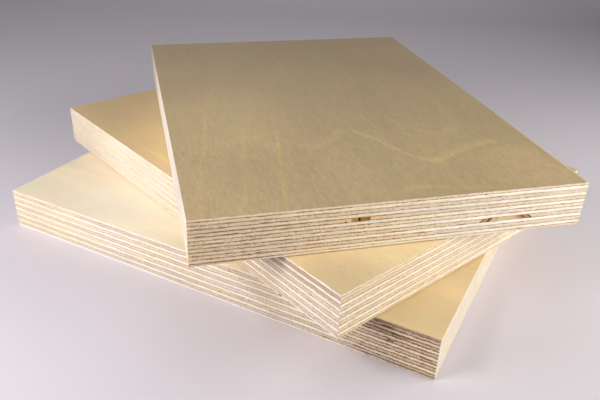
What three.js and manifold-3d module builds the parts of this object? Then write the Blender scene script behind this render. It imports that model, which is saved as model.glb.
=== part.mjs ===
// Three birch plywood panels, laid loosely on one another and fanned out.
// Millimetres, +Z up. The stack stands on z = 0 with the Z axis through the
// middle of its outline, and X runs along the bottom panel's long side.

import * as THREE from "three";
import { mergeVertices } from "three/addons/utils/BufferGeometryUtils.js";
import Module from "manifold-3d";

// ---- Driving dimensions, in millimetres and degrees ----

// The panel, after sawing and sanding. The face grain runs along its length.
const PANEL_LENGTH = 200;
const PANEL_WIDTH = 148;
const ARRIS = 0.2; // the sander just breaks the sharp edges of both faces
const ARRIS_FACETS = 2;

// Its lay-up: rotary-cut veneers, each laid across the grain of the last.
const PLY_COUNT = 13;
const CORE_PLY = 1.38; // as pressed
const FACE_PLY = 0.93; // as sanded, both faces
const GLUE_LINE = 0.08; // the dark resin film between two veneers
const SAW_TRIM = 5; // what a veneer loses all round when the panel is sawn to size

// The stack, from the floor up. Each panel's centre is given from the centre of
// the one on the floor, and its turn is about its own centre.
const SEAT_GAP = 0.3; // loose panels are never quite flat on each other
const PANELS = [
  { name: "bottom_sheet", x: 0, y: 0, turn: 0 },
  { name: "middle_sheet", x: 3.4, y: 14.0, turn: -21.2 },
  { name: "top_sheet", x: 7.9, y: 20.2, turn: -47.9 },
];

// Splits in the top panel's short edge, at the rims of two knots. `along` is
// from the middle of that edge, `lean` is out of plumb, towards +along at the
// top, `gape` is the width at the edge and `depth` is how far in it closes.
const SPLIT_PANEL = "top_sheet";
const SPLITS = [
  { ply: 5, along: -15.4, lean: 5, gape: 0.45, depth: 4 },
  { ply: 9, along: 32.6, lean: 49, gape: 0.35, depth: 3 },
  { ply: 9, along: 35.0, lean: 34, gape: 0.5, depth: 5 },
  { ply: 9, along: 51.6, lean: -55, gape: 0.45, depth: 4 },
];

// A sliver torn up from the face veneer of the same panel, on its long edge.
// It lies along the grain and springs away from the edge towards the corner.
const SLIVER_PANEL = "top_sheet";
const SLIVER_PLY = 1;
const SLIVER_LENGTH = 5.4;
const SLIVER_FROM_CORNER = 8.2; // its tip, from the panel's corner
const SLIVER_SPRING = 0.9; // how far the tip stands out
const SLIVER_ROOT = 0.6; // how far its root reaches into the veneer
const SLIVER_THICKNESS = 0.4;
const SLIVER_FACETS = 6; // along each of its two curves

// ---- The lay-up, worked out from those sizes ----

const PLY_PITCH = CORE_PLY + GLUE_LINE;
const PANEL_THICKNESS = 2 * FACE_PLY + (PLY_COUNT - 1) * GLUE_LINE + (PLY_COUNT - 2) * CORE_PLY;

// Plies are counted from the face down, and levels are from the panel's underside.
const PLIES = Array.from({ length: PLY_COUNT }, (_, index) => {
  const number = index + 1;
  const isFace = number === 1;
  const isBack = number === PLY_COUNT;
  const thickness = isFace || isBack ? FACE_PLY : CORE_PLY;
  const aboveBack = PLY_COUNT - number - 1;
  const level = isBack ? 0 : FACE_PLY + GLUE_LINE + aboveBack * PLY_PITCH;
  const grain = number % 2 === 1 ? "long" : "cross";
  const role = isFace ? "face" : isBack ? "back" : grain;
  return { number, thickness, level, role };
});

// ---- Materials ----

const VENEER_COLOURS = {
  face: "#cdb684", // sanded face, golden tan
  back: "#cdb684",
  long: "#ead9b6", // edges cream along the grain
  cross: "#c49a72", // edges peach brown across it
};
const VENEER_ROUGHNESS = { face: 0.5, back: 0.5, long: 0.7, cross: 0.8 };

function veneerMaterial(role) {
  return new THREE.MeshStandardMaterial({
    color: VENEER_COLOURS[role],
    roughness: VENEER_ROUGHNESS[role],
    metalness: 0,
    flatShading: true,
  });
}

// ---- Solids ----

const wasm = await Module();
wasm.setup();

// A closed geometry as a solid that can be joined and cut.
function toSolid(geometry) {
  geometry.deleteAttribute("normal");
  geometry.deleteAttribute("uv");
  const merged = mergeVertices(geometry);
  return new wasm.Manifold(
    new wasm.Mesh({
      numProp: 3,
      vertProperties: merged.attributes.position.array,
      triVerts: new Uint32Array(merged.index.array),
    }),
  );
}

function toGeometry(solid) {
  const { vertProperties, triVerts } = solid.getMesh();
  const geometry = new THREE.BufferGeometry();
  geometry.setAttribute("position", new THREE.BufferAttribute(vertProperties, 3));
  geometry.setIndex(new THREE.BufferAttribute(triVerts, 1));
  geometry.computeVertexNormals();
  return geometry;
}

function rectangle(length, width) {
  return new THREE.Shape([
    new THREE.Vector2(-length / 2, -width / 2),
    new THREE.Vector2(length / 2, -width / 2),
    new THREE.Vector2(length / 2, width / 2),
    new THREE.Vector2(-length / 2, width / 2),
  ]);
}

// The panel's outer form once it is sawn and sanded, standing on z = 0. The
// bevel grows outwards, so the outline is drawn smaller by it all round.
function sandedPanel() {
  const outline = rectangle(PANEL_LENGTH - 2 * ARRIS, PANEL_WIDTH - 2 * ARRIS);
  const form = new THREE.ExtrudeGeometry(outline, {
    depth: PANEL_THICKNESS - 2 * ARRIS,
    bevelSize: ARRIS,
    bevelThickness: ARRIS,
    bevelSegments: ARRIS_FACETS,
  });
  return toSolid(form.translate(0, 0, ARRIS));
}

// A veneer as it is laid in the press, before the saw trims it.
function rawVeneer({ thickness, level }) {
  const outline = rectangle(PANEL_LENGTH + 2 * SAW_TRIM, PANEL_WIDTH + 2 * SAW_TRIM);
  const sheet = new THREE.ExtrudeGeometry(outline, { depth: thickness, bevelEnabled: false });
  return toSolid(sheet.translate(0, 0, level));
}

// The void of a split: widest at the sawn edge, closing to nothing inside, and
// leaning to one side. It stands proud of the edge and runs through the veneer.
function splitVoid({ along, lean, gape, depth }, { thickness, level }) {
  const slant = THREE.MathUtils.degToRad(lean);
  const proud = depth / 2;
  const mouth = gape * (1 + proud / depth);
  const height = (2 * thickness + mouth) / Math.cos(slant);
  const plan = new THREE.Shape([
    new THREE.Vector2(-depth, 0),
    new THREE.Vector2(proud, -mouth / 2),
    new THREE.Vector2(proud, mouth / 2),
  ]);
  const wedge = new THREE.ExtrudeGeometry(plan, { depth: height, bevelEnabled: false });
  wedge.translate(0, 0, -height / 2);
  wedge.rotateX(-slant);
  wedge.translate(PANEL_LENGTH / 2, along, level + thickness / 2);
  return toSolid(wedge);
}

// The sliver, curving out from its root on the long edge to a point. It comes
// off just under the broken edge of the face.
function sliverSolid() {
  const edge = PANEL_WIDTH / 2;
  const tip = PANEL_LENGTH / 2 - SLIVER_FROM_CORNER;
  const root = tip - SLIVER_LENGTH;
  const plan = new THREE.Shape();
  plan.moveTo(root, edge - SLIVER_ROOT);
  plan.lineTo(root + SLIVER_LENGTH / 2, edge - SLIVER_ROOT);
  plan.quadraticCurveTo(tip - SLIVER_LENGTH / 4, edge, tip, edge + SLIVER_SPRING);
  plan.quadraticCurveTo(root + SLIVER_LENGTH / 2, edge + SLIVER_SPRING / 2, root, edge);
  const sliver = new THREE.ExtrudeGeometry(plan, {
    depth: SLIVER_THICKNESS,
    bevelEnabled: false,
    curveSegments: SLIVER_FACETS,
  });
  return toSolid(sliver.translate(0, 0, PANEL_THICKNESS - ARRIS - SLIVER_THICKNESS));
}

// One veneer of a panel, trimmed and sanded with it, with its own damage.
function veneerSolid(panelName, ply) {
  let veneer = rawVeneer(ply).intersect(sandedPanel());
  if (panelName === SPLIT_PANEL) {
    for (const split of SPLITS.filter((one) => one.ply === ply.number)) {
      veneer = veneer.subtract(splitVoid(split, ply));
    }
  }
  if (panelName === SLIVER_PANEL && ply.number === SLIVER_PLY) {
    veneer = veneer.add(sliverSolid());
  }
  return veneer;
}

// ---- Assembly ----

function panel({ name, x, y, turn }, storey) {
  const group = new THREE.Group();
  for (const ply of PLIES) {
    const geometry = toGeometry(veneerSolid(name, ply));
    geometry.translate(0, 0, -ply.level);
    const mesh = new THREE.Mesh(geometry, veneerMaterial(ply.role));
    mesh.name = `${name}_ply_${String(ply.number).padStart(2, "0")}_${ply.role}`;
    mesh.position.z = ply.level;
    group.add(mesh);
  }
  group.position.set(x, y, storey * (PANEL_THICKNESS + SEAT_GAP));
  group.rotation.z = THREE.MathUtils.degToRad(turn);
  return group;
}

const stack = new THREE.Group();
PANELS.forEach((place, storey) => stack.add(panel(place, storey)));

// The Z axis goes through the middle of the stack's outline.
const outlineCentre = new THREE.Box3().setFromObject(stack, true).getCenter(new THREE.Vector3());
stack.position.set(-outlineCentre.x, -outlineCentre.y, 0);

export default stack;
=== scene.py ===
import math
import random

import bmesh
import bpy
from mathutils import Matrix, Vector


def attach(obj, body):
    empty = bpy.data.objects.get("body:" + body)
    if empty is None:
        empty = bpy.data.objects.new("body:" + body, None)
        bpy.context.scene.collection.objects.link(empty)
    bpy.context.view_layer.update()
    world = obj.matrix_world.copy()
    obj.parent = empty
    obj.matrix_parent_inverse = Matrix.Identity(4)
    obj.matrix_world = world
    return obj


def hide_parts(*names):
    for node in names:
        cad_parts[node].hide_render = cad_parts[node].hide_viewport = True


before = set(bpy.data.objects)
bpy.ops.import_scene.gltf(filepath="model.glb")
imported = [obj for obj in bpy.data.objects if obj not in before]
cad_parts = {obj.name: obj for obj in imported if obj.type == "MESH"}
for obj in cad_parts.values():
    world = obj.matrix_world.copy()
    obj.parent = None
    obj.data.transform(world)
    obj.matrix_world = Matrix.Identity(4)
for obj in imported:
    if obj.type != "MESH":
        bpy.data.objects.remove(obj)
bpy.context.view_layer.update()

bpy.context.scene.view_settings.view_transform = "Standard"


# ---------------------------------------------------------------------------
# Camera: a hand's width above the top sheet and a third of a metre off, looking
# down on the nearest corner of the stack.
# ---------------------------------------------------------------------------
CAMERA_PLACE = Vector((0.12511, -0.26668, 0.16259))
CAMERA_HEADING = math.radians(116.617)
CAMERA_PITCH = math.radians(29.044)
CAMERA_ROLL = math.radians(-2.414)
CAMERA_LENS = 39.29

forward = Vector((
    math.cos(CAMERA_PITCH) * math.cos(CAMERA_HEADING),
    math.cos(CAMERA_PITCH) * math.sin(CAMERA_HEADING),
    -math.sin(CAMERA_PITCH),
))
level = Vector((math.sin(CAMERA_HEADING), -math.cos(CAMERA_HEADING), 0))
down = forward.cross(level)
right = math.cos(CAMERA_ROLL) * level + math.sin(CAMERA_ROLL) * down
up = forward.cross(-right)

camera = bpy.data.objects.new("camera", bpy.data.cameras.new("camera"))
camera.matrix_world = Matrix.Translation(CAMERA_PLACE) @ Matrix((right, up, -forward)).transposed().to_4x4()
camera.data.sensor_width = 36
camera.data.lens = CAMERA_LENS
camera.data.clip_start = 0.01
camera.data.clip_end = 20
bpy.context.scene.collection.objects.link(camera)
bpy.context.scene.camera = camera


# ---------------------------------------------------------------------------
# Table and backdrop: one pale satin sheet, laid flat under the stack and swept
# up behind it in a wide curve. Where it runs out of the lamps' reach it is shown
# as pale as the rest. It isn't part of the stack.
# ---------------------------------------------------------------------------
TABLE_REACH = 2.2
BACKDROP_AT = 0.75
BACKDROP_HEIGHT = 1.6
SWEEP_RADIUS = 0.35
SWEEP_SEGMENTS = 24
TABLE_GAP = 0.00002
TABLE_COLOUR = (0.72, 0.68, 0.73)
TABLE_ROUGHNESS = (0.42, 0.48)
TABLE_GLOSS = 0.2
FAR_COLOUR = (0.48, 0.465, 0.49, 1)
# From where to where the lamps' light gives out: towards the front, to the right,
# along a slanting line, and all round.
FRONT_FADE = (0.18, 0.62)
RIGHT_FADE = (0.21, 0.40)
RIGHT_SLANT = 0.25
FAR_FADE = (0.52, 1.0)


def node(tree, kind, feeds=None, **settings):
    """A shader node with its settings, and what each of its inputs is set to or fed by."""
    made = tree.nodes.new("ShaderNode" + kind)
    for name, value in settings.items():
        setattr(made, name, value)
    for name, value in (feeds or {}).items():
        if isinstance(value, bpy.types.NodeSocket):
            tree.links.new(value, made.inputs[name])
        else:
            made.inputs[name].default_value = value
    return made


def maths(tree, operation, *values, clamp=False):
    """One step of arithmetic on values or on what other nodes give."""
    return node(tree, "Math", dict(enumerate(values)), operation=operation, use_clamp=clamp).outputs[0]


def fade(tree, value, start, end, low=0.0, high=1.0):
    """Low before start, high after end, and smooth between them."""
    feeds = {"Value": value, "From Min": start, "From Max": end, "To Min": low, "To Max": high}
    return node(tree, "MapRange", feeds, interpolation_type="SMOOTHSTEP").outputs["Result"]


def towards(tree, vector, direction):
    """How far a vector goes in a direction."""
    return node(tree, "VectorMath", {0: vector, 1: direction}, operation="DOT_PRODUCT").outputs["Value"]


def principled(name):
    """A new material's node tree and its Principled shader."""
    material = bpy.data.materials.new(name)
    material.use_nodes = True
    return material, material.node_tree, material.node_tree.nodes["Principled BSDF"]


table_mesh = bmesh.new()
across = level
away = Vector((-level.y, level.x, 0))
front_left = table_mesh.verts.new(-across * TABLE_REACH - away * TABLE_REACH)
front_right = table_mesh.verts.new(across * TABLE_REACH - away * TABLE_REACH)
back_right = table_mesh.verts.new(across * TABLE_REACH + away * BACKDROP_AT)
back_left = table_mesh.verts.new(-across * TABLE_REACH + away * BACKDROP_AT)
table_mesh.faces.new((front_left, front_right, back_right, back_left))
fold = table_mesh.edges.get((back_right, back_left))
raised = bmesh.ops.extrude_edge_only(table_mesh, edges=[fold])
bmesh.ops.translate(
    table_mesh,
    vec=(0, 0, BACKDROP_HEIGHT),
    verts=[part for part in raised["geom"] if isinstance(part, bmesh.types.BMVert)],
)
bmesh.ops.bevel(
    table_mesh, geom=[fold], offset=SWEEP_RADIUS, offset_type="OFFSET", affect="EDGES",
    segments=SWEEP_SEGMENTS, profile=0.5, material=-1,
)
bmesh.ops.translate(table_mesh, vec=(0, 0, -TABLE_GAP), verts=table_mesh.verts)
bmesh.ops.recalc_face_normals(table_mesh, faces=table_mesh.faces)
for face in table_mesh.faces:
    face.smooth = True
table = bpy.data.objects.new("table", bpy.data.meshes.new("table"))
table_mesh.to_mesh(table.data)
table_mesh.free()
bpy.context.scene.collection.objects.link(table)

table_finish, tree, shader = principled("pale_table")
place = node(tree, "TexCoord").outputs["Object"]
haze = node(tree, "TexNoise", {"Vector": place, "Scale": 4, "Detail": 1}).outputs["Fac"]
satin = {"Value": haze, "To Min": TABLE_ROUGHNESS[0], "To Max": TABLE_ROUGHNESS[1]}
tree.links.new(node(tree, "MapRange", satin).outputs["Result"], shader.inputs["Roughness"])
shader.inputs["Base Color"].default_value = (*TABLE_COLOUR, 1)
shader.inputs["Specular IOR Level"].default_value = TABLE_GLOSS
far_off = node(tree, "VectorMath", {0: place}, operation="LENGTH").outputs["Value"]
in_front = fade(tree, towards(tree, place, -away), *FRONT_FADE)
to_the_right = fade(tree, towards(tree, place, across - away * RIGHT_SLANT), *RIGHT_FADE)
unlit = maths(tree, "MAXIMUM", in_front, to_the_right)
unlit = maths(tree, "MAXIMUM", unlit, fade(tree, far_off, *FAR_FADE))
unlit = maths(tree, "MULTIPLY", unlit, node(tree, "LightPath").outputs["Is Camera Ray"])
far_table = node(tree, "Emission", {"Color": FAR_COLOUR}).outputs["Emission"]
faded = node(tree, "MixShader", {0: unlit, 1: shader.outputs["BSDF"], 2: far_table})
tree.links.new(faded.outputs["Shader"], tree.nodes["Material Output"].inputs["Surface"])
table_finish.cycles.emission_sampling = "NONE"
table.data.materials.append(table_finish)


# ---------------------------------------------------------------------------
# Lamps: three soft boxes in front of the table, aimed well over the stack so
# that the table under them isn't burnt out, and a weak one behind. They aren't
# part of the stack.
# ---------------------------------------------------------------------------
LAMPS = {
    "left_box": {
        "place": (-0.328, -0.209, 0.136), "aim": (-0.042, 0.054, 0.445),
        "size": (0.219, 0.142), "power": 1.622, "tint": (1.0, 0.98, 1.0),
    },
    "upper_left_box": {
        "place": (-0.286, -0.254, 0.339), "aim": (-0.372, -0.265, 0.051),
        "size": (0.186, 0.121), "power": 1.261, "tint": (1.0, 0.98, 1.0),
    },
    "right_box": {
        "place": (0.353, -0.137, 0.193), "aim": (-0.054, -0.036, 0.322),
        "size": (0.452, 0.294), "power": 2.470, "tint": (1.0, 0.985, 0.95),
    },
    "back_box": {
        "place": (-0.1, 0.6, 0.6), "aim": (0, 0, 0.03),
        "size": (0.6, 0.4), "power": 0.35, "tint": (1.0, 1.0, 1.0),
    },
}
ROOM_COLOUR = (0.8, 0.8, 0.82, 1)
ROOM_STRENGTH = 0.12


def from_table(side, away_from, height):
    """A place given by how far it is to the right of the stack, behind it and above the table."""
    return across * side + away * away_from + Vector((0, 0, height))


for name, lamp in LAMPS.items():
    light = bpy.data.lights.new(name, "AREA")
    light.shape = "RECTANGLE"
    light.size, light.size_y = lamp["size"]
    light.energy = lamp["power"]
    light.color = lamp["tint"]
    place = from_table(*lamp["place"])
    beam = from_table(*lamp["aim"]) - place
    box = bpy.data.objects.new(name, light)
    box.matrix_world = Matrix.Translation(place) @ beam.to_track_quat("-Z", "Y").to_matrix().to_4x4()
    box.visible_camera = False
    bpy.context.scene.collection.objects.link(box)

world = bpy.data.worlds.new("studio")
world.use_nodes = True
tree = world.node_tree
tree.nodes["Background"].inputs["Color"].default_value = ROOM_COLOUR
tree.nodes["Background"].inputs["Strength"].default_value = ROOM_STRENGTH
seen = node(tree, "LightPath").outputs["Is Camera Ray"]
far_room = node(tree, "Background", {"Color": FAR_COLOUR}).outputs["Background"]
room = node(tree, "MixShader", {0: seen, 1: tree.nodes["Background"].outputs["Background"], 2: far_room})
tree.links.new(room.outputs["Shader"], tree.nodes["World Output"].inputs["Surface"])
bpy.context.scene.world = world


# ---------------------------------------------------------------------------
# Sawn veneer edges: every veneer is peeled from a birch log, laid across the
# grain of the last and cut through by the panel saw, so that each edge of a
# sheet shows end grain and side grain by turns.
# ---------------------------------------------------------------------------
SHEETS = {
    "bottom_sheet": {
        "centre": (-6.628, -20.200), "level": 0.0, "turn": 0.0,
        "side_grain": (0.93, 0.84, 0.73), "end_grain": (0.75, 0.635, 0.515),
    },
    "middle_sheet": {
        "centre": (-3.228, -6.200), "level": 18.3, "turn": -21.2,
        "side_grain": (0.92, 0.82, 0.68), "end_grain": (0.73, 0.605, 0.465),
    },
    "top_sheet": {
        "centre": (1.272, 0.0), "level": 36.6, "turn": -47.9,
        "side_grain": (0.96, 0.905, 0.775), "end_grain": (0.85, 0.69, 0.53),
    },
}
MM_IN_M = 1000
PLY_COUNT = 13
FACE_PLY = 0.93
CORE_PLY = 1.38
GLUE_LINE = 0.08
GLUE_STAIN = (0.30, 0.13, 0.05)
COOL_TO_WARM = ((0.99, 1.0, 1.04), (1.01, 1.0, 0.92))
PINK_TO_GREEN = ((1.03, 0.985, 1.02), (0.985, 1.015, 0.93))


def product(tree, first, *others):
    """All the values multiplied."""
    for other in others:
        first = maths(tree, "MULTIPLY", first, other)
    return first


def total(tree, first, *others):
    """All the values added up."""
    for other in others:
        first = maths(tree, "ADD", first, other)
    return first


def scaled(tree, value, times, plus):
    """A value multiplied and added to."""
    return maths(tree, "MULTIPLY_ADD", value, times, plus)


def between(tree, amount, first, second):
    """The first value, passing over into the second."""
    return node(tree, "Mix", {0: amount, 2: first, 3: second}).outputs[0]


def blended(tree, amount, first, second, how="MIX"):
    """The second colour over the first."""
    first, second = ((*colour, 1) if isinstance(colour, tuple) else colour for colour in (first, second))
    return node(tree, "Mix", {0: amount, 6: first, 7: second}, data_type="RGBA", blend_type=how).outputs[2]


def washed(tree, colour, tint):
    """The colour with a tint through it."""
    return blended(tree, 1.0, colour, tint, "MULTIPLY")


def grey(tree, value):
    """A grey as light as the value."""
    return node(tree, "CombineXYZ", {0: value, 1: value, 2: value}).outputs[0]


def stretched(tree, place, per_mm, seed=0.0, detail=2.0, roughness=0.5):
    """Noise with so many waves to the millimetre in each direction."""
    waves = node(tree, "VectorMath", {0: place, 1: per_mm}, operation="MULTIPLY").outputs[0]
    feeds = {"Vector": waves, "W": seed, "Scale": 1.0, "Detail": detail, "Roughness": roughness}
    return node(tree, "TexNoise", feeds, noise_dimensions="4D").outputs["Fac"]


def reseeded(tree, seed, shift):
    """Another seed made from the one that a veneer has."""
    return maths(tree, "ADD", seed, shift)


def parts_of(tree, vector):
    """A vector's X, Y and Z."""
    return node(tree, "SeparateXYZ", {0: vector}).outputs


def new_group(name, inputs, outputs):
    """A node group, what comes into it and what goes out of it."""
    made = bpy.data.node_groups.new(name, "ShaderNodeTree")
    for label, kind in inputs.items():
        made.interface.new_socket(label, in_out="INPUT", socket_type="NodeSocket" + kind)
    for label, kind in outputs.items():
        made.interface.new_socket(label, in_out="OUTPUT", socket_type="NodeSocket" + kind)
    return made, made.nodes.new("NodeGroupInput").outputs, made.nodes.new("NodeGroupOutput").inputs


# A veneer's own directions, in millimetres: x along its grain, y across it and
# z from its middle up, with the way the surface faces turned the same.
grain_way, given, result = new_group(
    "grain_way",
    {"Place": "Vector", "Facing": "Vector"},
    {"Place": "Vector", "End": "Float", "Flat": "Float", "Along": "Float", "Height": "Float"},
)
in_mm = node(grain_way, "VectorMath", {0: given["Place"], "Scale": MM_IN_M}, operation="SCALE").outputs[0]
parts = parts_of(grain_way, in_mm)
faces = parts_of(grain_way, given["Facing"])
end = fade(grain_way, maths(grain_way, "ABSOLUTE", faces["X"]), 0.6, 0.7)
flat = fade(grain_way, maths(grain_way, "ABSOLUTE", faces["Z"]), 0.5, 0.95)
along = between(grain_way, end, parts["X"], parts["Y"])
for label, value in {"Place": in_mm, "End": end, "Flat": flat, "Along": along, "Height": parts["Z"]}.items():
    grain_way.links.new(value, result[label])

# The sawn edge of one veneer, with the glue that has soaked into its rims.
sawn_edge, given, result = new_group(
    "sawn_edge",
    {"Place": "Vector", "End": "Float", "Along": "Float", "Height": "Float", "Half": "Float",
     "Seed": "Float", "Side Grain": "Color", "End Grain": "Color", "Stain": "Color",
     "Open Pores": "Float", "Soaked": "Float"},
    {"Colour": "Color", "Roughness": "Float", "Relief": "Float"},
)
tree = sawn_edge
place, seed = given["Place"], given["Seed"]
end, along, height = given["End"], given["Along"], given["Height"]
on_edge = node(tree, "CombineXYZ", {0: along, 1: height}).outputs[0]
tone = stretched(tree, on_edge, (0.05, 0.3, 0), seed, detail=5, roughness=0.68)
fibres = stretched(tree, place, (0.10, 2.6, 2.6), seed, detail=4, roughness=0.65)
layers = stretched(tree, place, (0.03, 0.12, 3.2), seed, detail=2)
pores = fade(tree, stretched(tree, place, (0.35, 1.5, 1.6), seed, detail=3), 0.53, 0.68)
saw = stretched(tree, on_edge, (1.5, 0.25, 0), seed, detail=4, roughness=0.65)
leaning = maths(tree, "ADD", along, product(tree, height, 1.1))
check_way = node(tree, "CombineXYZ", {0: leaning, 1: product(tree, height, 0.25)}).outputs[0]
checks = fade(tree, stretched(tree, check_way, (1.9, 1.0, 0), seed, detail=1), 0.66, 0.74)
checks = product(tree, checks, end, fade(tree, height, 0.3, -0.2))
pores = product(tree, pores, scaled(tree, end, 0.55, 0.3))

wood = blended(tree, end, given["Side Grain"], given["End Grain"])
grainy = product(tree, maths(tree, "SUBTRACT", fibres, 0.5), scaled(tree, end, 0.60, 0.48))
layered, sawn = scaled(tree, layers, 0.24, -0.12), scaled(tree, saw, 0.42, -0.21)
light = total(tree, scaled(tree, tone, 0.50, 0.75), grainy, layered, sawn)
light = maths(tree, "SUBTRACT", light, product(tree, pores, scaled(tree, given["Open Pores"], 0.28, 0.34)))
light = maths(tree, "SUBTRACT", light, product(tree, checks, 0.35))
warmth = stretched(tree, on_edge, (0.035, 0.4, 0), reseeded(tree, seed, 31), detail=2)
warm = blended(tree, fade(tree, warmth, 0.35, 0.65), *COOL_TO_WARM)
blush = stretched(tree, on_edge, (0.32, 0.9, 0), reseeded(tree, seed, 47), detail=3, roughness=0.6)
blush = blended(tree, fade(tree, blush, 0.36, 0.64), *PINK_TO_GREEN)
for wash in (warm, blush, grey(tree, light)):
    wood = washed(tree, wood, wash)
rim_side = maths(tree, "SIGN", height)
rim_way = node(tree, "CombineXYZ", {0: along, 1: product(tree, rim_side, 9)}).outputs[0]
soak = stretched(tree, rim_way, (0.30, 1.0, 0), seed, detail=5, roughness=0.75)
soak = fade(tree, soak, 0.36, 0.66, 0.05, 0.36)
soak = product(tree, soak, fade(tree, given["Soaked"], 1.0, 3.0, 1.0, 1.5))
burnt = stretched(tree, rim_way, (0.15, 1.0, 0), reseeded(tree, seed, 11), detail=5, roughness=0.72)
burnt = fade(tree, burnt, 0.36, 0.64, 0.30, 1.25)
grit = stretched(tree, rim_way, (1.4, 1.0, 0), reseeded(tree, seed, 23), detail=2, roughness=0.6)
burnt = product(tree, burnt, fade(tree, grit, 0.36, 0.62, 0.50, 1.35))
burnt = product(tree, burnt, given["Soaked"])
from_rim = maths(tree, "SUBTRACT", given["Half"], maths(tree, "ABSOLUTE", height))
stain = maths(tree, "SUBTRACT", 1.0, maths(tree, "DIVIDE", from_rim, soak), clamp=True)
stain = maths(tree, "MULTIPLY", product(tree, maths(tree, "POWER", stain, 0.8), 0.9), burnt, clamp=True)
tree.links.new(blended(tree, stain, wood, given["Stain"]), result["Colour"])
rough = scaled(tree, fibres, 0.2, 0.62)
tree.links.new(maths(tree, "SUBTRACT", rough, product(tree, stain, 0.12)), result["Roughness"])
relief = scaled(tree, fibres, 0.8, product(tree, saw, 0.8))
relief = maths(tree, "SUBTRACT", relief, product(tree, pores, 0.8))
relief = maths(tree, "SUBTRACT", relief, checks)
tree.links.new(maths(tree, "SUBTRACT", relief, product(tree, stain, 0.5)), result["Relief"])


# ---------------------------------------------------------------------------
# Handled and shaded edges: where the sheets have been handled and stood on end,
# the sawn wood is duller, its glue lines show darker and dirt has been knocked
# into it. Part of this dulling is painted shade, laid where an edge lies in the
# shadow of the sheet above and where it faces away from the lamps.
# ---------------------------------------------------------------------------
SOAKED = {"bottom_sheet": 0.95, "middle_sheet": 0.90, "top_sheet": 1.15}
NEAR_LONG_EDGE = (0, -1)
SHORT_EDGE = (1, 0)
# Each is where along the edge the wood is plain and where it is fully dulled by handling
# and painted shade, its side grain and end grain there, how soaked its rims are and how open its pores.
EDGE_HANDLING_AND_SHADE = {
    "bottom_sheet": {
        NEAR_LONG_EDGE: [
            (-40, -90, (0.87, 0.73, 0.59), (0.68, 0.56, 0.435), 0.5, 0.0),
            (50, 90, (0.89, 0.75, 0.60), (0.68, 0.55, 0.425), 3.2, 0.8),
        ],
        SHORT_EDGE: [
            (160, 60, (0.76, 0.70, 0.62), (0.63, 0.54, 0.45), 0.45, 0.0),
        ],
    },
    "middle_sheet": {
        NEAR_LONG_EDGE: [
            (20, -25, (0.76, 0.67, 0.56), (0.76, 0.66, 0.535), 0.08, 0.0),
            (-45, -88, (0.65, 0.565, 0.47), (0.645, 0.555, 0.445), 0.08, 0.2),
            (45, 85, (0.92, 0.81, 0.70), (0.72, 0.61, 0.505), 1.1, 0.3),
        ],
        SHORT_EDGE: [
            (45, 5, (0.91, 0.79, 0.655), (0.80, 0.675, 0.495), 0.9, 0.0),
            (0, -75, (0.89, 0.77, 0.62), (0.73, 0.61, 0.455), 1.4, 0.5),
        ],
    },
    "top_sheet": {
        SHORT_EDGE: [
            (42, -80, (0.745, 0.60, 0.415), (0.715, 0.575, 0.42), 1.8, 1.0),
        ],
        NEAR_LONG_EDGE: [
            (160, 60, (0.72, 0.68, 0.63), (0.64, 0.55, 0.48), 0.4, 0.0),
            (65, 15, (0.80, 0.765, 0.695), (0.71, 0.62, 0.54), 0.4, 0.0),
            (-30, -95, (0.54, 0.51, 0.465), (0.475, 0.41, 0.345), 0.6, 0.3),
        ],
    },
}
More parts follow.
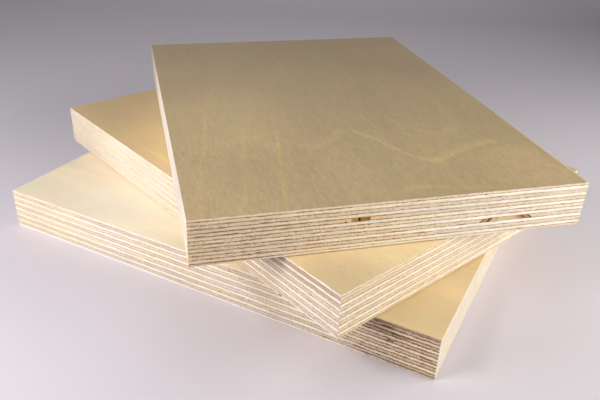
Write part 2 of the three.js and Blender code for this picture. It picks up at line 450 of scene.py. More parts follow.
# Each is where it lies along the edge and how high, half its length and height,
# its colour and its strength. The long dark bands near the right ends of the
# bottom and middle sheets' near long edges are painted shade, where those ends
# lie in the shadow of the sheet above.
EDGE_SPOTS_AND_SHADE = {
    "bottom_sheet": {
        NEAR_LONG_EDGE: [
            ((85.2, 13.8), (6.0, 0.55), (0.26, 0.11, 0.035), 0.8),
            ((88, 17.45), (20, 0.65), (0.27, 0.16, 0.08), 0.6),
            ((83.6, 14.0), (0.8, 0.34), (0.06, 0.02, 0.008), 1.0),
            ((82.6, 10.5), (1.4, 0.32), (0.07, 0.025, 0.010), 1.0),
            ((81.2, 16.05), (2.8, 0.30), (0.12, 0.055, 0.030), 0.9),
            ((96.1, 7.9), (2.4, 0.28), (0.13, 0.06, 0.035), 0.8),
            ((70.7, 2.65), (2.0, 0.26), (0.20, 0.085, 0.05), 0.8),
            ((58.3, 1.2), (1.8, 0.26), (0.20, 0.10, 0.06), 0.8),
            ((-55, 13.38), (48, 0.80), (0.93, 0.69, 0.46), 0.35),
            ((-62, 7.54), (44, 0.80), (0.94, 0.70, 0.46), 0.35),
            ((-50, 1.7), (60, 0.80), (0.66, 0.58, 0.45), 0.35),
            ((-30, 16.3), (30, 0.80), (0.60, 0.53, 0.44), 0.30),
            ((-50, 0.40), (75, 0.60), (0.96, 0.90, 0.88), 0.60),
            ((84, 1.05), (26, 0.24), (0.10, 0.055, 0.030), 0.6),
            ((86, 2.45), (20, 0.20), (0.12, 0.065, 0.035), 0.5),
            ((88, 15.55), (20, 0.20), (0.10, 0.05, 0.03), 0.5),
            ((86, 12.7), (16, 0.24), (0.09, 0.04, 0.02), 0.6),
            ((89, 9.75), (14, 0.22), (0.10, 0.05, 0.025), 0.5),
        ],
    },
    "middle_sheet": {
        NEAR_LONG_EDGE: [
            ((86.9, 14.1), (1.9, 0.30), (0.34, 0.16, 0.06), 0.8),
            ((84, 16.2), (30, 0.85), (0.40, 0.275, 0.175), 0.62),
            ((84, 13.6), (30, 0.70), (0.41, 0.29, 0.195), 0.48),
            ((70.5, 0.35), (1.0, 0.34), (0.16, 0.08, 0.05), 0.9),
        ],
        SHORT_EDGE: [
            ((-44, 15.5), (34, 0.60), (0.80, 0.54, 0.27), 0.6),
            ((-60, 16.5), (22, 0.80), (0.66, 0.52, 0.36), 0.5),
            ((-60, 17.6), (22, 0.40), (0.84, 0.70, 0.50), 0.6),
            ((-56, 14.1), (26, 0.24), (0.36, 0.19, 0.08), 0.5),
        ],
    },
    "top_sheet": {
        SHORT_EDGE: [
            ((-20.2, 11.3), (0.55, 0.36), (0.14, 0.04, 0.010), 1.0),
            ((-11.6, 9.4), (0.55, 0.28), (0.36, 0.16, 0.06), 0.8),
            ((-23.7, 17.0), (1.6, 0.20), (0.22, 0.10, 0.03), 0.9),
            ((-37.8, 2.55), (0.34, 0.26), (0.14, 0.055, 0.020), 1.0),
            ((-48.7, 2.6), (0.36, 0.26), (0.16, 0.065, 0.025), 1.0),
            ((-49.6, 3.1), (0.34, 0.24), (0.24, 0.11, 0.05), 0.9),
            ((-47.4, 2.9), (0.34, 0.24), (0.30, 0.15, 0.08), 0.9),
            ((-52.6, 2.55), (0.50, 0.24), (0.28, 0.14, 0.07), 0.8),
            ((-44, 17.6), (52, 0.34), (0.86, 0.74, 0.55), 0.7),
            ((-2, 0.46), (56, 0.50), (0.97, 0.87, 0.70), 0.75),
            ((66, 15.57), (12, 0.40), (0.93, 0.80, 0.64), 0.6),
            ((66, 14.1), (12, 0.40), (0.93, 0.82, 0.67), 0.6),
            ((-48, 12.65), (28, 0.24), (0.20, 0.085, 0.03), 0.6),
            ((-60, 0.90), (19, 0.28), (0.20, 0.09, 0.035), 0.75),
            ((-50.8, 2.9), (1.2, 0.24), (0.24, 0.11, 0.05), 0.9),
            ((-44.9, 2.6), (1.2, 0.24), (0.26, 0.13, 0.06), 0.8),
            ((-63.6, 12.65), (3.6, 0.26), (0.30, 0.075, 0.030), 0.9),
            ((-60.6, 11.2), (4.0, 0.26), (0.22, 0.09, 0.035), 0.9),
            ((-73.4, 15.0), (0.7, 0.80), (0.95, 0.70, 0.42), 0.7),
            ((-73.5, 3.2), (0.8, 1.30), (0.92, 0.61, 0.30), 0.65),
            ((-73.6, 11.2), (0.5, 0.50), (0.80, 0.50, 0.24), 0.7),
            ((24.4, 5.35), (0.70, 0.24), (0.50, 0.24, 0.12), 0.7),
            ((8.8, 3.75), (3.4, 0.24), (0.36, 0.17, 0.08), 0.8),
            ((31.9, 17.0), (0.9, 0.24), (0.26, 0.12, 0.05), 0.9),
            ((45.7, 8.25), (3.0, 0.26), (0.44, 0.31, 0.22), 0.7),
            ((58.5, 8.3), (2.4, 0.24), (0.58, 0.26, 0.16), 0.7),
        ],
    },
}


def faced(tree, facing, side):
    """One where the surface faces this side of its sheet, and nothing elsewhere."""
    return fade(tree, towards(tree, facing, (*side, 0)), 0.6, 0.8)


def along_edge(parts, side):
    """The direction that an edge runs in."""
    return parts["Y"] if side == SHORT_EDGE else parts["X"]


def handled_and_shaded(tree, place, facing, laid, marks):
    """An edge's side grain, end grain, open pores and soaked glue, from where it is plain to where it is
    dulled by handling and painted shade.
    """
    parts = parts_of(tree, place)
    open_pores = 0.0
    for side, rows in marks.items():
        for plain_at, dulled_at, side_grain, end_grain, soaked, opened in rows:
            along = product(tree, along_edge(parts, side), MM_IN_M)
            # Past this point the edge takes its dulled colours, partly painted shade.
            here = product(tree, fade(tree, along, plain_at, dulled_at), faced(tree, facing, side))
            laid = {
                "side": blended(tree, here, laid["side"], side_grain),
                "end": blended(tree, here, laid["end"], end_grain),
                "soaked": between(tree, here, laid["soaked"], soaked),
            }
            open_pores = maths(tree, "MAXIMUM", product(tree, here, opened), open_pores)
    return {"Side Grain": laid["side"], "End Grain": laid["end"], "Open Pores": open_pores, "Soaked": laid["soaked"]}


def with_spots_and_shade(tree, colour, place, facing, spots, low, high):
    """The colour of an edge with the specks, burnt glue, long pale and dark bands and painted shade over it
    that reach a veneer's heights.
    """
    parts = parts_of(tree, place)
    ragged = node(tree, "TexNoise", {"Vector": place, "Scale": 2200, "Detail": 2}).outputs["Fac"]
    torn = scaled(tree, ragged, 3.2, -1.6)
    for side, rows in spots.items():
        for (at, height), (half_length, half_height), tint, strength in rows:
            if not low - half_height < height < high + half_height:
                continue
            along = scaled(tree, along_edge(parts, side), MM_IN_M, -at)
            up = scaled(tree, parts["Z"], MM_IN_M, -height)
            along = maths(tree, "POWER", maths(tree, "DIVIDE", along, half_length), 2)
            up = maths(tree, "POWER", maths(tree, "DIVIDE", up, half_height), 2)
            inside = fade(tree, total(tree, along, up, torn), 1.4, 0.4)
            cover = product(tree, inside, faced(tree, facing, side), strength)
            colour = blended(tree, cover, colour, tint)
    return colour


# ---------------------------------------------------------------------------
# Sanded faces: the outer veneers are clear rotary-cut birch, sanded to a satin
# tan, with the soft waves and short dark flecks of the growth rings.
# ---------------------------------------------------------------------------
# Each is the colour at the back of a sheet's face and the one at its front. The
# change between them is painted light and shade, lighter towards the end of each
# face that takes more light.
FACE_TANS = {
    "bottom_sheet": ((0.90, 0.79, 0.58), (0.84, 0.66, 0.38)),
    "middle_sheet": ((0.66, 0.49, 0.26), (0.905, 0.72, 0.42)),
    "top_sheet": ((0.455, 0.345, 0.205), (0.57, 0.43, 0.235)),
}
# Each is where its middle lies, how far it reaches and its tint. On the bottom and
# middle sheets these are painted light and shade: lighter where a face takes more
# light, darker in the middle sheet's far corner and near the sheets' right ends.
FACE_PATCHES_AND_PAINTED_LIGHT = {
    "bottom_sheet": [
        ((-30, -62), (44, 30), (1.14, 1.22, 1.36)),
        ((-74, -50), (24, 34), (1.07, 1.06, 1.08)),
        ((98, -70), (22, 22), (0.88, 0.86, 0.84)),
        ((20, -75), (16, 9), (1.34, 1.46, 1.70)),
    ],
    "middle_sheet": [
        ((-36, -66), (36, 20), (1.20, 1.14, 1.07)),
        ((98, -72), (26, 22), (0.80, 0.79, 0.78)),
        ((95, 75), (15, 6), (0.72, 0.58, 0.44)),
    ],
    "top_sheet": [
        ((18, -48), (44, 30), (1.13, 1.14, 1.10)),
        ((86, 62), (24, 20), (1.14, 1.11, 1.14)),
        ((-36, 58), (30, 22), (0.94, 0.94, 0.97)),
    ],
}
PALE_WAVE = (1.16, 1.20, 1.00)
REDDISH_TO_YELLOW = ((1.025, 0.995, 0.98), (0.985, 1.005, 0.97))
FLECK_TINT = (0.62, 0.56, 0.50)
FACE_WAVES = {"bottom_sheet": 0.25, "middle_sheet": 0.35, "top_sheet": 0.25}
FACE_SPECKS = {"bottom_sheet": 0.13, "middle_sheet": 0.15, "top_sheet": 0.44}

sanded_face, given, result = new_group(
    "sanded_face",
    {"Place": "Vector", "Seed": "Float", "Back Colour": "Color", "Front Colour": "Color",
     "Waves": "Float", "Specks": "Float"},
    {"Colour": "Color", "Roughness": "Float", "Relief": "Float"},
)
tree = sanded_face
place, seed = given["Place"], given["Seed"]
mottle = stretched(tree, place, (0.012, 0.03, 0), seed, detail=3)
flame = stretched(tree, place, (0.10, 0.045, 0), seed, detail=2)
streaks = stretched(tree, place, (0.014, 0.42, 0), seed, detail=3, roughness=0.55)
hue = stretched(tree, place, (0.010, 0.10, 0), reseeded(tree, seed, 17), detail=3, roughness=0.6)
specks = stretched(tree, place, (0.24, 0.95, 0), reseeded(tree, seed, 5), detail=2, roughness=0.6)
fibres = stretched(tree, place, (0.12, 2.6, 0), seed, detail=4, roughness=0.6)
rings = stretched(tree, place, (0.0055, 0.017, 0), seed, detail=2, roughness=0.35)
ring = maths(tree, "FRACT", product(tree, rings, 8))
ring = product(tree, fade(tree, ring, 0.0, 0.05), fade(tree, ring, 0.34, 0.07))
patch = fade(tree, stretched(tree, place, (0.02, 0.03, 0), seed, detail=1), 0.40, 0.62)
ring = product(tree, ring, scaled(tree, patch, -0.75, 1.0))
flecks = fade(tree, stretched(tree, place, (0.38, 1.7, 0), seed, detail=2), 0.56, 0.72)
flecks = product(tree, flecks, scaled(tree, patch, 0.6, 0.35))
lengthwise = parts_of(tree, place)["X"]
coarse = fade(tree, lengthwise, -30, 60, 0.45, 1.0)
speckled = product(tree, maths(tree, "SUBTRACT", specks, 0.5), given["Specks"], coarse)
flamed, streaked = scaled(tree, flame, 0.08, -0.04), scaled(tree, streaks, 0.10, -0.05)
fibrous = scaled(tree, fibres, 0.16, -0.08)
light = total(tree, scaled(tree, mottle, 0.24, 0.88), flamed, streaked, speckled, fibrous)
wave = blended(tree, product(tree, ring, given["Waves"]), (1.0, 1.0, 1.0), PALE_WAVE)
tint = blended(tree, fade(tree, hue, 0.3, 0.7), *REDDISH_TO_YELLOW)
# Painted light and shade: the tan passes from the back colour to the front one.
skin = blended(tree, fade(tree, lengthwise, -100, 100), given["Back Colour"], given["Front Colour"])
for wash in (tint, grey(tree, light), wave):
    skin = washed(tree, skin, wash)
skin = blended(tree, product(tree, flecks, 0.30), skin, washed(tree, skin, FLECK_TINT))
tree.links.new(skin, result["Colour"])
tree.links.new(scaled(tree, fibres, 0.14, 0.40), result["Roughness"])
tree.links.new(maths(tree, "SUBTRACT", maths(tree, "MAXIMUM", fibres, specks), flecks), result["Relief"])


def mapped(tree, vector, how, **feeds):
    """A vector as measured from a thing that is placed, turned or sized so."""
    return node(tree, "Mapping", {"Vector": vector, **feeds}, vector_type=how).outputs[0]


def with_patches_and_painted_light(tree, colour, place, patches):
    """The colour of a face with broad lighter and darker patches over it, which on the bottom and middle
    sheets are painted light and shade.
    """
    for at, size, tint in patches:
        off = mapped(tree, place, "TEXTURE", Location=(*at, 0), Scale=(*size, 1))
        off = node(tree, "VectorMath", {0: off, 1: (1, 1, 0)}, operation="MULTIPLY").outputs[0]
        off = node(tree, "VectorMath", {0: off}, operation="LENGTH").outputs["Value"]
        colour = blended(tree, fade(tree, off, 1.3, 0.3), colour, washed(tree, colour, tint))
    return colour


# ---------------------------------------------------------------------------
# Growth waves: pale lines that the peeling knife left across the top sheet's
# face, where it crossed one growth ring and came back, with straight streaks
# beside them.
# ---------------------------------------------------------------------------
# A crest is given by points, so far across the face and so far along it.
WAVES = [
    {"width": 2.4, "strength": 0.95, "crest": [
        (-1, 36.5), (2, 40), (5, 45), (9, 50.5), (13, 60), (17, 67), (21, 71),
        (25, 73), (30, 70.5), (37, 66.5), (44, 63), (52, 60.5), (61, 60),
    ]},
    {"width": 3.4, "strength": 0.65, "crest": [
        (-31, 43), (-26, 49), (-20, 52), (-12, 49.5), (-6, 43), (0, 36.5),
    ]},
    {"width": 1.6, "strength": 0.60, "crest": [
        (1, 96), (5, 93.5), (10, 92.5), (16, 93.5), (24, 95.5), (32, 97), (40, 99),
    ]},
    {"width": 2.6, "strength": 0.40, "crest": [
        (18, 20), (24, 34), (29, 42), (34, 48), (40, 49.5), (46, 46), (52, 33),
    ]},
]
STREAKS = [
    {"at": (60, -34.4), "slope": -0.17, "reach": (28, 104), "width": 1.5, "strength": 0.85},
    {"at": (60, -48.2), "slope": -0.17, "reach": (20, 104), "width": 1.7, "strength": 0.60},
    {"at": (60, -63.8), "slope": -0.14, "reach": (2, 104), "width": 1.8, "strength": 0.60},
    {"at": (-30, -48.4), "slope": -0.13, "reach": (-56, 2), "width": 2.0, "strength": 0.40},
    {"at": (20, 50.7), "slope": -0.22, "reach": (0, 42), "width": 1.8, "strength": 0.45},
]
CREST_LOW, CREST_REACH = -100, 210
WAVE_TRAIL = 2.4
WAVE_ENDS = 5
STREAK_ENDS = 10
WAVE_TINT = (1.17, 1.19, 1.05)
STREAK_TINT = (1.14, 1.10, 0.96)


def with_waves(tree, colour, way):
    """The colour of a face with its own growth waves and streaks over it."""
    parts = parts_of(tree, way["Place"])
    wander = stretched(tree, way["Place"], (0.10, 0.20, 0), detail=3, roughness=0.6)
    wander = scaled(tree, wander, 5.0, -2.5)
    shown = fade(tree, stretched(tree, way["Place"], (0.12, 0.12, 0), detail=3), 0.30, 0.55, 0.45, 1.0)
    waves = 0.0
    for wave in WAVES:
        start, finish = wave["crest"][0][0], wave["crest"][-1][0]
        line = tree.nodes.new("ShaderNodeFloatCurve")
        points = line.mapping.curves[0].points
        while len(points) < len(wave["crest"]):
            points.new(0.5, 0.5)
        for point, (sideways, lengthways) in zip(points, wave["crest"]):
            point.location = ((sideways - start) / (finish - start), (lengthways - CREST_LOW) / CREST_REACH)
        line.mapping.update()
        feeds = {"Value": parts["Y"], "From Min": start, "From Max": finish}
        tree.links.new(node(tree, "MapRange", feeds).outputs["Result"], line.inputs["Value"])
        crest = scaled(tree, line.outputs["Value"], CREST_REACH, CREST_LOW)
        crest = maths(tree, "ADD", crest, product(tree, wander, 0.5))
        off = maths(tree, "SUBTRACT", parts["X"], crest)
        behind = fade(tree, off, -WAVE_TRAIL * wave["width"], 0)
        ahead = fade(tree, off, wave["width"], 0)
        began = fade(tree, parts["Y"], start, start + WAVE_ENDS)
        ended = fade(tree, parts["Y"], finish, finish - WAVE_ENDS)
        band = product(tree, behind, ahead, began, ended, wave["strength"])
        waves = maths(tree, "MAXIMUM", band, waves)
    streaks = 0.0
    for streak in STREAKS:
        beyond = maths(tree, "SUBTRACT", parts["X"], streak["at"][0])
        line = scaled(tree, beyond, streak["slope"], streak["at"][1])
        line = maths(tree, "ADD", line, product(tree, wander, 0.25))
        off = maths(tree, "SUBTRACT", parts["Y"], line)
        band = fade(tree, maths(tree, "ABSOLUTE", off), streak["width"], 0.1)
        near, far = streak["reach"]
        began = fade(tree, parts["X"], near, near + STREAK_ENDS)
        ended = fade(tree, parts["X"], far, far - STREAK_ENDS)
        streaks = maths(tree, "MAXIMUM", product(tree, band, began, ended, streak["strength"]), streaks)
    colour = blended(tree, product(tree, waves, shown), colour, washed(tree, colour, WAVE_TINT))
    return blended(tree, product(tree, streaks, shown), colour, washed(tree, colour, STREAK_TINT))


# ---------------------------------------------------------------------------
# Knots: two small ones grown into long-grain veneers of the top sheet, sawn
# through at its short edge, with bark-brown rims round their splits.
# ---------------------------------------------------------------------------
KNOT_BEHIND, KNOT_SHOWN = 91, 94
# Each band is where it lies along the edge, its colour and how much it covers.
KNOTS = {
    5: {
        "span": (-26.0, -6.0), "lean": (0.05, 0.05),
        "bands": [
            (-25.5, (0.88, 0.60, 0.36), 0.0), (-21.5, (0.88, 0.54, 0.29), 0.45),
            (-18.5, (0.88, 0.54, 0.27), 0.8), (-18.1, (0.54, 0.32, 0.10), 1.0),
            (-17.2, (0.44, 0.235, 0.065), 1.0), (-16.7, (0.42, 0.20, 0.06), 1.0),
            (-16.2, (0.56, 0.33, 0.17), 1.0), (-15.8, (0.22, 0.055, 0.018), 1.0),
            (-15.2, (0.20, 0.05, 0.015), 1.0), (-14.9, (0.30, 0.15, 0.045), 1.0),
            (-14.2, (0.40, 0.195, 0.06), 1.0), (-12.8, (0.34, 0.165, 0.05), 1.0),
            (-12.1, (0.26, 0.125, 0.035), 1.0), (-11.4, (0.26, 0.125, 0.04), 1.0),
            (-11.1, (0.88, 0.52, 0.26), 0.85), (-9.2, (0.88, 0.54, 0.29), 0.5),
            (-6.5, (0.88, 0.60, 0.38), 0.0),
        ],
    },
    9: {
        "span": (30.5, 54.0), "lean": (1.00, -1.40),
        "bands": [
            (31.4, (0.84, 0.58, 0.36), 0.0), (32.0, (0.50, 0.26, 0.10), 0.95),
            (32.6, (0.30, 0.145, 0.05), 1.0), (33.2, (0.48, 0.27, 0.11), 1.0),
            (33.9, (0.64, 0.40, 0.20), 1.0), (34.4, (0.36, 0.16, 0.065), 1.0),
            (35.0, (0.24, 0.085, 0.03), 1.0), (35.6, (0.36, 0.17, 0.075), 1.0),
            (36.3, (0.70, 0.46, 0.24), 1.0), (37.8, (0.78, 0.53, 0.28), 1.0),
            (38.2, (0.46, 0.23, 0.09), 0.9), (38.7, (0.77, 0.55, 0.31), 1.0),
            (41.0, (0.77, 0.55, 0.32), 0.95), (45.6, (0.70, 0.47, 0.25), 1.0),
            (46.9, (0.58, 0.34, 0.13), 1.0), (48.0, (0.42, 0.235, 0.095), 1.0),
            (49.2, (0.22, 0.10, 0.035), 1.0), (49.8, (0.50, 0.30, 0.15), 1.0),
            (50.7, (0.50, 0.30, 0.14), 1.0), (51.3, (0.40, 0.21, 0.085), 1.0),
            (51.9, (0.38, 0.20, 0.08), 1.0), (52.4, (0.86, 0.62, 0.42), 0.0),
        ],
    },
}


def with_knot(tree, colour, way, knot):
    """The colour of a veneer's end with a knot laid over it, band by band along the edge."""
    start, finish = knot["span"]
    parts = parts_of(tree, way["Place"])
    lean = fade(tree, parts["Y"], start + 8, finish - 8, *knot["lean"])
    wander = stretched(tree, way["Place"], (0, 1.3, 1.6), detail=3)
    aside = maths(tree, "SUBTRACT", parts["Y"], product(tree, way["Height"], lean))
    aside = maths(tree, "ADD", aside, scaled(tree, wander, 0.9, -0.45))
    ramp = tree.nodes.new("ShaderNodeValToRGB")
    stops = ramp.color_ramp.elements
    while len(stops) < len(knot["bands"]):
        stops.new(0.5)
    for stop, (at, tint, cover) in zip(stops, knot["bands"]):
        stop.position = (at - start) / (finish - start)
        stop.color = (*tint, cover)
    feeds = {"Value": aside, "From Min": start, "From Max": finish}
    tree.links.new(node(tree, "MapRange", feeds).outputs["Result"], ramp.inputs["Fac"])
    cover = product(tree, ramp.outputs["Alpha"], fade(tree, parts["X"], KNOT_BEHIND, KNOT_SHOWN))
    mottled = grey(tree, scaled(tree, wander, 0.9, 0.55))
    return blended(tree, cover, colour, washed(tree, ramp.outputs["Color"], mottled))


# ---------------------------------------------------------------------------
# Arris highlight: a pale line painted along the top sheet's far long edge, more
# so towards the corner, where the arris catches the light: a painted highlight.
# ---------------------------------------------------------------------------
ARRIS_HIGHLIGHT_COLOUR = (0.88, 0.72, 0.50)
ARRIS_HIGHLIGHT_SHOWN = 0.85
ARRIS_ACROSS = (72.9, 73.5)
ARRIS_ALONG = (20.0, 70.0)


def with_arris_highlight(tree, colour, place):
    """The colour of the top sheet's face veneer with a painted highlight along its far arris."""
    parts = parts_of(tree, place)
    # Painted highlight: paler along the far arris, stronger towards the corner.
    arris = product(tree, fade(tree, parts["Y"], *ARRIS_ACROSS), fade(tree, parts["X"], *ARRIS_ALONG))
    return blended(tree, product(tree, arris, ARRIS_HIGHLIGHT_SHOWN), colour, ARRIS_HIGHLIGHT_COLOUR)


# ---------------------------------------------------------------------------
# The three sheets: each is 13 birch veneers, thin ones outside, glued under a hot
# press with odd ones along the sheet and even ones across it, sawn to size and
# sanded. The sheets lie loose on one another.
# ---------------------------------------------------------------------------
SHEET_LENGTH = 200.0
SHEET_WIDTH = 148.0
ARRIS = 0.2
MERGED = 0.000002
LEVELLED = math.radians(0.5)
GLUED_WOOD = (0.80, 0.66, 0.47)
INNER_ROUGHNESS = 0.7
SANDED_GLOSS = 0.4
RELIEF_STRENGTH = 0.35
RELIEF_DEPTH = 0.00012
SIDE_GRAIN_SHIFT = 0.05
END_GRAIN_SHIFT = 0.07
LAST_SEED = 50
draw = random.Random(18)

# A veneer's surface laid out flat on a square, one unit wide: how high an edge's
# row is, the pitch of the rows, how wide a cell is and the margin round them.
OUTER_LAYOUT = (0.0225, 0.0275, 0.020, 0.004)
INNER_LAYOUT = (0.095, 0.110, 0.080, 0.010)
EDGE_ROWS = 8
SPARE_FACE = 4
NEAR_ENOUGH = 0.01


def tinted(colour, shift):
    """The colour, a little lighter or darker and a little warmer or cooler."""
    lighter, warmer = draw.uniform(-shift, shift), draw.uniform(-shift, shift) / 2
    return tuple(min(1.0, part * (1 + lighter + tilt * warmer)) for part, tilt in zip(colour, (1, 0, -1)))


def trimmed_veneer(node_mesh, centre, turn):
    """A veneer's solid as whole faces, with each sawn edge cut at its middle and nothing
    standing out past the saw line of the far long edge."""
    veneer = bmesh.new()
    veneer.from_mesh(node_mesh)
    bmesh.ops.remove_doubles(veneer, verts=veneer.verts, dist=MERGED)
    to_far_edge = Matrix.Rotation(turn, 3, "Z") @ Vector((0, 1, 0))
    bmesh.ops.bisect_plane(
        veneer, geom=[*veneer.verts, *veneer.edges, *veneer.faces], dist=MERGED, clear_outer=True,
        plane_co=centre + to_far_edge * SHEET_WIDTH / 2 / MM_IN_M, plane_no=to_far_edge,
    )
    bmesh.ops.holes_fill(veneer, edges=[edge for edge in veneer.edges if edge.is_boundary])
    bmesh.ops.dissolve_limit(veneer, angle_limit=LEVELLED, verts=veneer.verts, edges=veneer.edges)
    for across_it in (turn, turn + math.pi / 2):
        bmesh.ops.bisect_plane(
            veneer, geom=[*veneer.verts, *veneer.edges, *veneer.faces], dist=MERGED,
            plane_co=centre, plane_no=(math.cos(across_it), math.sin(across_it), 0),
        )
    return veneer


def lay_out(veneer, centre, turn, thickness, sanded_side):
    """Lays a veneer's surface out flat: each half of each sawn edge in a row, a sanded side
    over the rest, and the glued sides and the small faces in cells in the top margin."""
    row, pitch, cell, margin = OUTER_LAYOUT if sanded_side else INNER_LAYOUT
    flat_map = veneer.loops.layers.uv.new("OFBake")
    to_sheet = Matrix.Rotation(-turn, 3, "Z")
    top_margin = 1 - margin - cell
    rows_end = margin + EDGE_ROWS * pitch
    cells = 0
    for face in veneer.faces:
        way = to_sheet @ face.normal
        middle = to_sheet @ (face.calc_center_median() - centre) * MM_IN_M
        places = [to_sheet @ (loop.vert.co - centre) * MM_IN_M for loop in face.loops]
        on_a_side = min(abs(middle.z), abs(middle.z - thickness)) < NEAR_ENOUGH
        level_face = abs(way.z) > 0.99 and on_a_side
        beyond = (abs(middle.x) - SHEET_LENGTH / 2, abs(middle.y) - SHEET_WIDTH / 2)
        on_rim = -ARRIS < max(beyond) < NEAR_ENOUGH
        if level_face and way.z * sanded_side > 0:
            room = (SHEET_LENGTH + SPARE_FACE, SHEET_WIDTH + SPARE_FACE)
            low, high = (margin, rows_end), (1 - margin, top_margin - margin)
            shares = [(place.x / room[0] + 0.5, place.y / room[1] + 0.5) for place in places]
        elif on_rim and not level_face:
            axis = 0 if abs(way.x) > abs(way.y) else 1
            reach = (SHEET_WIDTH, SHEET_LENGTH)[axis] / 2
            half = 1 if middle[1 - axis] > 0 else 0
            line = 4 * axis + 2 * (way[axis] > 0) + half
            low = (margin, margin + line * pitch)
            high = (1 - margin, margin + line * pitch + row)
            shares = [(place[1 - axis] / reach + 1 - half, place.z / thickness) for place in places]
        else:
            dropped = max(range(3), key=lambda axis: abs(way[axis]))
            kept = [axis for axis in range(3) if axis != dropped]
            start = [min(place[axis] for place in places) for axis in kept]
            span = [max(place[axis] for place in places) - low_end for axis, low_end in zip(kept, start)]
            if level_face:
                start, span = (-SHEET_LENGTH / 2, -SHEET_WIDTH / 2), (SHEET_LENGTH, SHEET_WIDTH)
                slot = 0 if way.z > 0 else 1
            else:
                slot = 2 + cells
                cells += 1
            low = (margin + slot * (cell + margin), top_margin)
            high = (low[0] + cell, top_margin + cell)
            shares = [
                tuple((place[axis] - first) / width for axis, first, width in zip(kept, start, span))
                for place in places
            ]
        for loop, share in zip(face.loops, shares):
            loop[flat_map].uv = [
                first + (last - first) * part for first, last, part in zip(low, high, share)
            ]


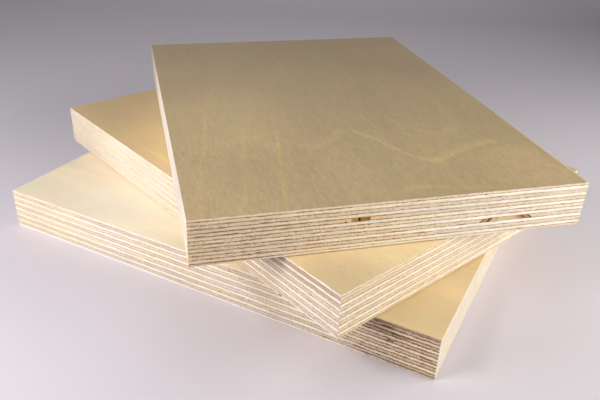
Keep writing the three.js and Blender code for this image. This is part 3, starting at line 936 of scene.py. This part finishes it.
for sheet, laid in SHEETS.items():
    for number in range(1, PLY_COUNT + 1):
        role = {1: "face", PLY_COUNT: "back"}.get(number, "cross" if number % 2 == 0 else "long")
        outer = role in ("face", "back")
        thickness = FACE_PLY if outer else CORE_PLY
        under = PLY_COUNT - number
        below = FACE_PLY + GLUE_LINE + (under - 1) * (CORE_PLY + GLUE_LINE) if under else 0.0
        turn = math.radians(laid["turn"])
        crossing = math.pi / 2 if role == "cross" else 0.0
        sanded_side = {"face": 1, "back": -1}.get(role, 0)
        foot = [part / MM_IN_M for part in (*laid["centre"], laid["level"])]
        middle = (0, 0, (below + thickness / 2) / MM_IN_M)
        seed = draw.uniform(0, LAST_SEED)
        clean = {
            "side": tinted(laid["side_grain"], SIDE_GRAIN_SHIFT),
            "end": tinted(laid["end_grain"], END_GRAIN_SHIFT),
            "soaked": SOAKED[sheet],
        }

        finish, tree, shader = principled(f"{sheet}_{number:02d}_{role}")
        coordinates = node(tree, "TexCoord").outputs
        place = mapped(tree, coordinates["Object"], "TEXTURE", Location=foot, Rotation=(0, 0, turn))
        facing = mapped(tree, coordinates["Normal"], "VECTOR", Rotation=(0, 0, -turn))
        way = node(tree, "Group", {
            "Place": mapped(tree, place, "TEXTURE", Location=middle, Rotation=(0, 0, crossing)),
            "Facing": mapped(tree, facing, "VECTOR", Rotation=(0, 0, -crossing)),
        }, node_tree=grain_way).outputs
        edge = node(tree, "Group", {
            **{label: way[label] for label in ("Place", "End", "Along", "Height")},
            # Dulling from handling and painted shade along stretches of each edge.
            **handled_and_shaded(tree, place, facing, clean, EDGE_HANDLING_AND_SHADE[sheet]),
            "Half": thickness / 2, "Seed": seed, "Stain": (*GLUE_STAIN, 1),
        }, node_tree=sawn_edge)
        colour, roughness, relief = (edge.outputs[label] for label in ("Colour", "Roughness", "Relief"))
        if sheet == "top_sheet" and number in KNOTS:
            colour = with_knot(tree, colour, way, KNOTS[number])
        reach = (below - GLUE_LINE, below + thickness + GLUE_LINE)
        # Specks and burnt glue, with painted shade on the shaded ends of the near long edges.
        colour = with_spots_and_shade(tree, colour, place, facing, EDGE_SPOTS_AND_SHADE[sheet], *reach)
        if outer:
            back_colour, front_colour = FACE_TANS[sheet]
            skin = node(tree, "Group", {
                "Place": way["Place"], "Seed": seed,
                "Back Colour": (*back_colour, 1), "Front Colour": (*front_colour, 1),
                "Waves": FACE_WAVES[sheet], "Specks": FACE_SPECKS[sheet],
            }, node_tree=sanded_face).outputs
            # Broad patches, painted light and shade on the bottom and middle sheets.
            sanded = with_patches_and_painted_light(tree, skin["Colour"], way["Place"], FACE_PATCHES_AND_PAINTED_LIGHT[sheet])
            if sheet == "top_sheet" and role == "face":
                sanded = with_waves(tree, sanded, way)
            colour = blended(tree, way["Flat"], colour, sanded)
            glued = fade(tree, parts_of(tree, facing)["Z"], -0.5 * sanded_side, -0.95 * sanded_side)
            colour = blended(tree, glued, colour, GLUED_WOOD)
            if sheet == "top_sheet" and role == "face":
                # Painted highlight along the far arris.
                colour = with_arris_highlight(tree, colour, way["Place"])
            roughness = between(tree, way["Flat"], roughness, skin["Roughness"])
            tree.links.new(roughness, shader.inputs["Roughness"])
            relief = between(tree, way["Flat"], relief, skin["Relief"])
        else:
            colour = blended(tree, way["Flat"], colour, GLUED_WOOD)
            shader.inputs["Roughness"].default_value = INNER_ROUGHNESS
        tree.links.new(colour, shader.inputs["Base Color"])
        shader.inputs["Specular IOR Level"].default_value = SANDED_GLOSS if outer else 0.0
        bump = node(tree, "Bump", {"Height": relief, "Strength": RELIEF_STRENGTH, "Distance": RELIEF_DEPTH})
        tree.links.new(bump.outputs["Normal"], shader.inputs["Normal"])
        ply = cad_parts[f"{sheet}_ply_{number:02d}_{role}"]
        ply.data.materials.clear()
        ply.data.materials.append(finish)

        centre = Vector((*laid["centre"], laid["level"] + below)) / MM_IN_M
        veneer = trimmed_veneer(ply.data, centre, turn)
        lay_out(veneer, centre, turn, thickness, sanded_side)
        name = f"{sheet}_veneer_{number:02d}"
        piece = bpy.data.objects.new(name, bpy.data.meshes.new(name))
        veneer.to_mesh(piece.data)
        veneer.free()
        piece.data.materials.append(finish)
        bpy.context.scene.collection.objects.link(piece)
        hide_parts(ply.name)
        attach(piece, "root")


# ---------------------------------------------------------------------------
# Glue lines: a thin film of dark phenolic resin between each two veneers,
# pressed hot and sawn off just inside the wood.
# ---------------------------------------------------------------------------
FILM_SET_BACK = 0.05
FILM_CLEARANCE = 0.004
RESIN = (0.13, 0.048, 0.020)
STARVED_RESIN = (0.30, 0.17, 0.09)
RESIN_PATCHES = (900, 900, 2000)

resin_finish, tree, shader = principled("phenolic_resin")
patchy = stretched(tree, node(tree, "TexCoord").outputs["Object"], RESIN_PATCHES, detail=3)
starved = fade(tree, patchy, 0.52, 0.70)
tree.links.new(blended(tree, starved, RESIN, STARVED_RESIN), shader.inputs["Base Color"])
tree.links.new(scaled(tree, patchy, 0.3, 0.30), shader.inputs["Roughness"])

for sheet, laid in SHEETS.items():
    films = bmesh.new()
    for line in range(PLY_COUNT - 1):
        below = FACE_PLY + line * (CORE_PLY + GLUE_LINE)
        length, width = SHEET_LENGTH - 2 * FILM_SET_BACK, SHEET_WIDTH - 2 * FILM_SET_BACK
        size = Matrix.Diagonal((length, width, GLUE_LINE - FILM_CLEARANCE, 1))
        shape = Matrix.Translation((0, 0, below + GLUE_LINE / 2)) @ size
        bmesh.ops.create_cube(films, size=1, matrix=shape)
    bmesh.ops.rotate(films, verts=films.verts, matrix=Matrix.Rotation(math.radians(laid["turn"]), 3, "Z"))
    bmesh.ops.translate(films, verts=films.verts, vec=(*laid["centre"], laid["level"]))
    bmesh.ops.scale(films, verts=films.verts, vec=[1 / MM_IN_M] * 3)
    name = f"{sheet}_glue_lines"
    glue = bpy.data.objects.new(name, bpy.data.meshes.new(name))
    films.to_mesh(glue.data)
    films.free()
    glue.data.materials.append(resin_finish)
    bpy.context.scene.collection.objects.link(glue)
    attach(glue, "root")
